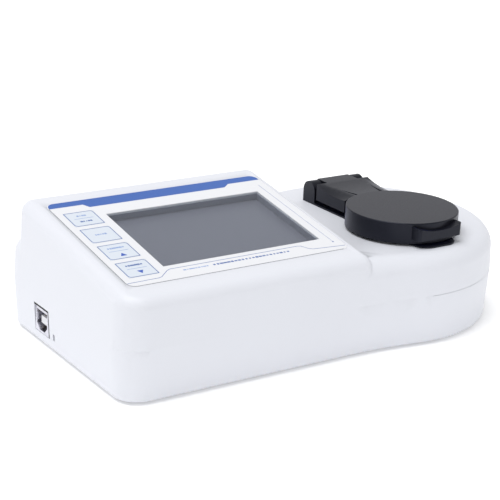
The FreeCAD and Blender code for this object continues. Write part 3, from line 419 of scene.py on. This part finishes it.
def prism(shape, points, low, high):
    """Adds a flat plate with the given outline, between two heights over the panel."""
    bottom = [shape.verts.new(on_panel(u, v, low)) for u, v in points]
    top = [shape.verts.new(on_panel(u, v, high)) for u, v in points]
    shape.faces.new(top)
    shape.faces.new(list(reversed(bottom)))
    count = len(points)
    for i in range(count):
        k = (i + 1) % count
        shape.faces.new([bottom[i], bottom[k], top[k], top[i]])


def stroke(shape, points, width, low, high, closed=False):
    """Adds a printed line of even width that follows the points."""
    count = len(points)
    left, right = [], []
    for i, (u, v) in enumerate(points):
        before = points[i - 1] if i or closed else points[i]
        after = points[(i + 1) % count] if i < count - 1 or closed else points[i]
        a = Vector((u - before[0], v - before[1]))
        b = Vector((after[0] - u, after[1] - v))
        a = a.normalized() if a.length else b.normalized()
        b = b.normalized() if b.length else a
        middle = (a + b).normalized()
        side = Vector((-middle.y, middle.x)) * (width / 2 / max(0.4, middle.dot(a)))
        left.append((u + side.x, v + side.y))
        right.append((u - side.x, v - side.y))
    for i in range(count if closed else count - 1):
        k = (i + 1) % count
        prism(shape, [right[i], right[k], left[k], left[i]], low, high)


def rounded(u0, v0, u1, v1, radii, steps):
    """A rectangle with its own radius at each corner: lower left first, anticlockwise."""
    centres = [(u0, v0, 1, 1, 180), (u1, v0, -1, 1, 270), (u1, v1, -1, -1, 0), (u0, v1, 1, -1, 90)]
    points = []
    for (u, v, su, sv, start), r in zip(centres, radii):
        if r == 0:
            points.append((u, v))
            continue
        for step in range(steps + 1):
            angle = math.radians(start + 90 * step / steps)
            points.append((u + su * r + r * math.cos(angle), v + sv * r + r * math.sin(angle)))
    return points


def print_piece(name, material, body, build):
    """Makes one printed layer from a function that fills its mesh."""
    shape = bmesh.new()
    build(shape)
    bmesh.ops.recalc_face_normals(shape, faces=shape.faces)
    link(name, from_bmesh(shape, name), material, body)


INK_THICKNESS = 0.03
INK_LOW, INK_HIGH = 0.0, INK_THICKNESS
DASH_SINK = INK_THICKNESS / 2
RULE_WIDTH = 0.22
ARC_STEPS = 6
BAND_TOP = PANEL_HEIGHT - 0.3
BAND_LEFT, BAND_RIGHT = 0.4, PANEL_WIDTH - 0.4


def blue_band(shape):
    """The band along the top edge: it is deeper over the display than at its ends."""
    left_edge, deep, right_edge, corner = 65.0, 62.3, 64.7, 3.2
    points = [(BAND_LEFT, left_edge), (14.5, left_edge), (16.2, deep), (77.4, deep),
              (80.5, right_edge), (BAND_RIGHT, right_edge)]
    for centre, start in ((BAND_RIGHT - corner, 0), (BAND_LEFT + corner, 90)):
        for step in range(ARC_STEPS + 1):
            angle = math.radians(start + 90 * step / ARC_STEPS)
            points.append((centre + corner * math.cos(angle),
                           BAND_TOP - corner + corner * math.sin(angle)))
    prism(shape, points, INK_LOW, INK_HIGH)


def lower_rule(shape):
    """The thin rule that steps up under the display and frames the lower margin."""
    points = [(0.7, 2.9), (13.6, 3.1), (15.0, 3.6), (19.0, 7.0), (20.6, 7.7), (76.4, 7.9),
              (77.8, 7.5), (79.8, 4.7), (81.4, 3.9), (95.3, 2.6)]
    stroke(shape, points, RULE_WIDTH, INK_LOW, INK_HIGH)


def panel_edge_shade(shape):
    """A dark line along the film's left and lower edges: painted shade, drawn as ink, for the shadow along the
    film's edge.
    """
    inset, radius = 0.2, 3.3
    corner = rounded(inset, inset, PANEL_WIDTH, PANEL_HEIGHT, (radius,) * 4, ARC_STEPS)
    points = [(inset, 65.0), *corner[:ARC_STEPS + 1], (PANEL_WIDTH - 3.0, inset)]
    stroke(shape, points, RULE_WIDTH, INK_LOW, INK_HIGH)


# The opening over the display: its left, lower, right and upper edges, and how far under
# the film's top the back of the pane and the face of the display lie.
WINDOW = (19.3, 10.2, 88.6, 55.0)
PANE_BACK, DISPLAY_FACE = -0.9, -3.4
# The left wall of the lower case leans in below the parting line, in degrees and metres.
WALL_LEAN, PARTING = 3.0, 21.0 * MM
# How far the painted-shade strip in the socket gap sits in from the wall's outer face.
GAP_SHADE_SINK = 0.08 * MM


def window_shade_ring(shape):
    """A ring of painted shade round the opening, filling the gap between the display and the pane: it stands in
    for the shadow inside the recess.
    """
    width, gap = 0.3, 0.05
    reach = gap + width / 2
    left, low, right, high = WINDOW
    ring = [(left + reach, low + reach), (right - reach, low + reach),
            (right - reach, high - reach), (left + reach, high - reach)]
    stroke(shape, ring, width, DISPLAY_FACE + gap, PANE_BACK - gap, closed=True)


def socket_gap_shade(shape):
    """A black matt strip of painted shade in the wider gap over the socket and on its front side, where the gap
    lies in shadow.
    """
    low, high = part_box("usb_shell")
    wall_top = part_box("lower_shell")[0].x
    wide, gap, play, depth = 0.85 * MM, 0.15 * MM, 0.05 * MM, 2.0 * MM
    lean = math.tan(math.radians(WALL_LEAN))
    spans = [(low.y - wide, low.z - gap, low.y - play, high.z + wide),
             (low.y - play, high.z + play, high.y + gap, high.z + wide)]
    for near, bottom, far, top in spans:
        for vert in bmesh.ops.create_cube(shape, size=1.0)["verts"]:
            y = far if vert.co.y > 0 else near
            z = top if vert.co.z > 0 else bottom
            face = wall_top + (PARTING - z) * lean + GAP_SHADE_SINK
            vert.co = Vector((face + (depth if vert.co.x > 0 else 0), y, z))


def right_margin_line(shape):
    """The fine line right of the display, with a small square at its foot."""
    across, top, foot, half = 92.4, 60.0, 6.6, 0.3
    stroke(shape, [(across, top), (across, foot)], 0.12, INK_LOW, INK_HIGH)
    prism(shape, [(across - half, foot - half), (across + half, foot - half),
                  (across + half, foot + half), (across - half, foot + half)],
          INK_LOW, INK_HIGH)


def key_box(name):
    """A key's left and right edges in u and its middle in v."""
    low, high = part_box(name)
    u0 = (low.x - PANEL_ORIGIN.x) / MM
    u1 = (high.x - PANEL_ORIGIN.x) / MM
    return u0, u1, panel_v((low + high) / 2)


KEY_HEIGHT = 11.1
KEY_TOP = 0.05
PAD_EASE = 0.15

# Each legend row: its height over the key's middle, its dashes and its ink.
LEGEND_PITCH = 1.0
LEGENDS = {
    "key_mode": [(2.4, 4, PALE_INK), (-2.2, 5, LINE_INK)],
    "key_enter": [(0.2, 5, PALE_INK)],
    "key_up": [(2.6, 7, PALE_INK)],
    "key_down": [(2.6, 7, LINE_INK)],
}


def key_pad(name):
    """One key: a pad with an eased rim, its outline, divider and symbol printed on it."""
    u0, u1, middle = key_box(name)
    v0, v1 = middle - KEY_HEIGHT / 2, middle + KEY_HEIGHT / 2
    body = body_of(name)
    slot = slot_of(name)
    shape = bmesh.new()
    rings = [(-PAD_EASE, -0.3), (-PAD_EASE, 0.0), (-PAD_EASE + 0.06, KEY_TOP * 0.8),
             (0.25, KEY_TOP), (0.8, KEY_TOP)]
    layers = []
    for inset, height in rings:
        outline = rounded(u0 + inset, v0 + inset, u1 - inset, v1 - inset, (0.3,) * 4, 3)
        layers.append([shape.verts.new(on_panel(u, v, height)) for u, v in outline])
    count = len(layers[0])
    for lower, upper in zip(layers, layers[1:]):
        for i in range(count):
            k = (i + 1) % count
            shape.faces.new([lower[i], lower[k], upper[k], upper[i]])
    shape.faces.new(layers[-1])
    shape.faces.new(list(reversed(layers[0])))
    bmesh.ops.recalc_face_normals(shape, faces=shape.faces)
    pad = link("pad_" + name, from_bmesh(shape, "pad_" + name), KEY, body)
    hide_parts(name)
    low, high = KEY_TOP, KEY_TOP + INK_THICKNESS
    outline = rounded(u0 + 0.1, v0 + 0.1, u1 - 0.1, v1 - 0.1, (1.3, 0.15, 1.3, 0.15), ARC_STEPS)
    print_piece("outline_" + name, LINE_INK, body,
                lambda s: stroke(s, outline, 0.28, low, high, True))
    if name != "key_enter":
        print_piece("divider_" + name, PALE_INK, body, lambda s: stroke(
            s, [(u0 + 2.2, middle + 0.2), (u1 - 2.0, middle + 0.2)], 0.2, low, high))
    for row, (drop, count, ink_used) in enumerate(LEGENDS[name]):
        wide = count * LEGEND_PITCH
        dashes(f"legend_{name}_{row}", body, slot, ink_used,
               ((u0 + u1 - wide + LEGEND_PITCH) / 2, middle + drop), high - DASH_SINK, Count=count,
               Pitch=LEGEND_PITCH * MM, Length=0.85 * LEGEND_PITCH * MM, Height=0.85 * MM,
               Seed=row + count)
    centre = (u0 + u1) / 2 + 0.3
    if name in ("key_up", "key_down"):
        way = 1 if name == "key_up" else -1
        foot = middle - 2.7 - way * 1.1
        tip = foot + way * 2.2
        print_piece("arrow_" + name, SYMBOL_INK, body, lambda s: prism(
            s, [(centre - 1.3, foot), (centre + 1.3, foot), (centre, tip)], low, high))


def legend_marks():
    """Short neutral dashes where the legends stand, one tree for all of them."""
    tree = bpy.data.node_groups.new("legend_dashes", "GeometryNodeTree")
    tree.interface.new_socket("Geometry", in_out="OUTPUT", socket_type="NodeSocketGeometry")
    names = {"Count": ("NodeSocketInt", 8), "Pitch": ("NodeSocketFloat", 1.5 * MM),
             "Length": ("NodeSocketFloat", 1.0 * MM), "Height": ("NodeSocketFloat", 0.5 * MM),
             "Thickness": ("NodeSocketFloat", 0.03 * MM), "Seed": ("NodeSocketInt", 1)}
    sockets = {}
    for name, (kind, value) in names.items():
        socket = tree.interface.new_socket(name, in_out="INPUT", socket_type=kind)
        socket.default_value = value
        sockets[name] = socket.identifier
    ink_socket = tree.interface.new_socket("Ink", in_out="INPUT",
                                           socket_type="NodeSocketMaterial")
    sockets["Ink"] = ink_socket.identifier
    given = add(tree, "NodeGroupInput").outputs
    step = add(tree, "ShaderNodeCombineXYZ", {"X": given["Pitch"]}).outputs["Vector"]
    line = add(tree, "GeometryNodeMeshLine", {"Count": given["Count"], "Offset": step})
    block = add(tree, "ShaderNodeCombineXYZ", {"X": given["Length"], "Y": given["Height"],
                                               "Z": given["Thickness"]}).outputs["Vector"]
    dash = add(tree, "GeometryNodeMeshCube", {"Size": block}).outputs["Mesh"]
    vary = add(tree, "FunctionNodeRandomValue", {"Seed": given["Seed"]}, data_type="FLOAT_VECTOR")
    vary.inputs[0].default_value = (0.45, 0.75, 1.0)
    vary.inputs[1].default_value = (1.25, 1.25, 1.0)
    spread = add(tree, "GeometryNodeInstanceOnPoints",
                 {"Points": line.outputs["Mesh"], "Instance": dash, "Scale": vary.outputs[0]})
    real = add(tree, "GeometryNodeRealizeInstances", {"Geometry": spread.outputs["Instances"]})
    inked = add(tree, "GeometryNodeSetMaterial",
                {"Geometry": real.outputs["Geometry"], "Material": given["Ink"]})
    add(tree, "NodeGroupOutput", {"Geometry": inked.outputs["Geometry"]})
    return tree, sockets


LEGEND_TREE, LEGEND_SOCKETS = legend_marks()


def dashes(name, body, slot, material, start, w, **values):
    """Bakes one row of dashes onto the panel."""
    mesh = bpy.data.meshes.new(name + "_seed")
    maker = bpy.data.objects.new(name + "_making", mesh)
    bpy.context.scene.collection.objects.link(maker)
    modifier = maker.modifiers.new("dashes", "NODES")
    modifier.node_group = LEGEND_TREE
    modifier[LEGEND_SOCKETS["Ink"]] = material
    for key, value in values.items():
        modifier[LEGEND_SOCKETS[key]] = value
    made = bpy.data.meshes.new_from_object(
        maker.evaluated_get(bpy.context.evaluated_depsgraph_get()))
    made.name = name
    bpy.data.objects.remove(maker)
    turn = Matrix((Vector((1, 0, 0)), UP_SLOPE, OUT)).transposed().to_4x4()
    made.transform(Matrix.Translation(on_panel(*start, w)) @ turn)
    link(name, made, material, body)


# ---------------------------------------------------------------------------
# Stage
# ---------------------------------------------------------------------------

WALL_LIGHT, CEILING_LIGHT, END_LIGHT = 1.02, 0.42, 0.86


def stage():
    """The floor and the room round the object."""
    floor = bpy.data.objects.new("floor", bpy.data.meshes.new("floor"))
    bpy.context.scene.collection.objects.link(floor)
    shape = bmesh.new()
    bmesh.ops.create_grid(shape, x_segments=1, y_segments=1, size=6.0)
    shape.to_mesh(floor.data)
    shape.free()
    floor.data.materials.append(pale_floor())
    studio()


def studio():
    """A white room, brightest low down in front and behind, dimmer overhead and at its ends."""
    world = bpy.data.worlds.new("studio")
    bpy.context.scene.world = world
    world.use_nodes = True
    tree = world.node_tree
    tree.nodes.clear()
    way = add(tree, "ShaderNodeTexCoord").outputs["Generated"]
    parts = add(tree, "ShaderNodeSeparateXYZ", {"Vector": way}).outputs
    glow = add(tree, "ShaderNodeMapRange", {"Value": parts["Z"], "From Min": 0.0, "From Max": 1.0,
                                            "To Min": WALL_LIGHT, "To Max": CEILING_LIGHT})
    side = add(tree, "ShaderNodeMath", {0: parts["X"]}, operation="ABSOLUTE").outputs["Value"]
    fade = add(tree, "ShaderNodeMapRange", {"Value": side, "To Min": 1.0, "To Max": END_LIGHT})
    level = add(tree, "ShaderNodeMath", {0: glow.outputs["Result"], 1: fade.outputs["Result"]},
                operation="MULTIPLY").outputs["Value"]
    back = add(tree, "ShaderNodeBackground", {"Color": linear("#FFFFFF"), "Strength": level})
    add(tree, "ShaderNodeOutputWorld", {"Surface": back.outputs["Background"]})


def soft_light(name, place, target, width, power):
    """A square lamp that faces its target."""
    lamp = bpy.data.lights.new(name, "AREA")
    lamp.shape = "RECTANGLE"
    lamp.size = width
    lamp.size_y = width
    lamp.energy = power
    light = bpy.data.objects.new(name, lamp)
    bpy.context.scene.collection.objects.link(light)
    light.location = place
    light.rotation_euler = (Vector(target) - Vector(place)).to_track_quat("-Z", "Y").to_euler()


def camera():
    """The viewpoint: turned right of straight ahead, looking down, with a slight roll."""
    turn, down, roll = (math.radians(a) for a in (33.93, 18.90, 2.36))
    place = Vector((-319.2, -454.4, 219.1)) * MM
    ahead = Vector((math.sin(turn) * math.cos(down), math.cos(turn) * math.cos(down),
                    -math.sin(down)))
    right = Vector((math.cos(turn), -math.sin(turn), 0))
    up = right.cross(ahead)
    x_axis = right * math.cos(roll) + up * math.sin(roll)
    y_axis = up * math.cos(roll) - right * math.sin(roll)
    data = bpy.data.cameras.new("camera")
    data.sensor_width = 36.0
    data.lens = 104.8
    data.clip_start = 0.01
    data.clip_end = 50.0
    view = bpy.data.objects.new("camera", data)
    bpy.context.scene.collection.objects.link(view)
    view.matrix_world = Matrix.Translation(place) @ Matrix(
        (x_axis, y_axis, -ahead)).transposed().to_4x4()
    bpy.context.scene.camera = view


# ---------------------------------------------------------------------------
# Build
# ---------------------------------------------------------------------------

dress_frame()
for piece_name, (source, rim) in SMOOTH_PARTS.items():
    smoothed(piece_name, source, rim=rim)
print_piece("print_blue_band", BLUE_INK, "case", blue_band)
print_piece("print_lower_rule", LINE_INK, "case", lower_rule)
# Painted shade along the film's left and lower edges.
print_piece("painted_edge_shade_line", EDGE_SHADE_INK, "case", panel_edge_shade)
print_piece("print_right_line", LINE_INK, "case", right_margin_line)
# Painted shade: the grey ring round the display opening.
print_piece("window_shade_ring", WINDOW_SHADE, "case", window_shade_ring)
# Painted shade: a black strip in the gap round the socket.
print_piece("socket_gap_shade", MATT, "case", socket_gap_shade)
for key_name in ("key_mode", "key_enter", "key_up", "key_down"):
    key_pad(key_name)
dashes("print_caption_left", "case", "panel_film", PALE_INK, (25.5, 5.4), DASH_SINK,
       Count=9, Pitch=1.2 * MM, Length=1.1 * MM, Height=0.6 * MM, Seed=4)
dashes("print_caption", "case", "panel_film", LINE_INK, (38.0, 5.4), DASH_SINK,
       Count=22, Pitch=1.55 * MM, Length=1.15 * MM, Height=0.8 * MM, Seed=7)

stage()
soft_light("key_light", (-0.38, 0.1, 1.7), (0, 0, 0), 1.2, 21.5)
camera()
bpy.context.scene.view_settings.view_transform = "Standard"
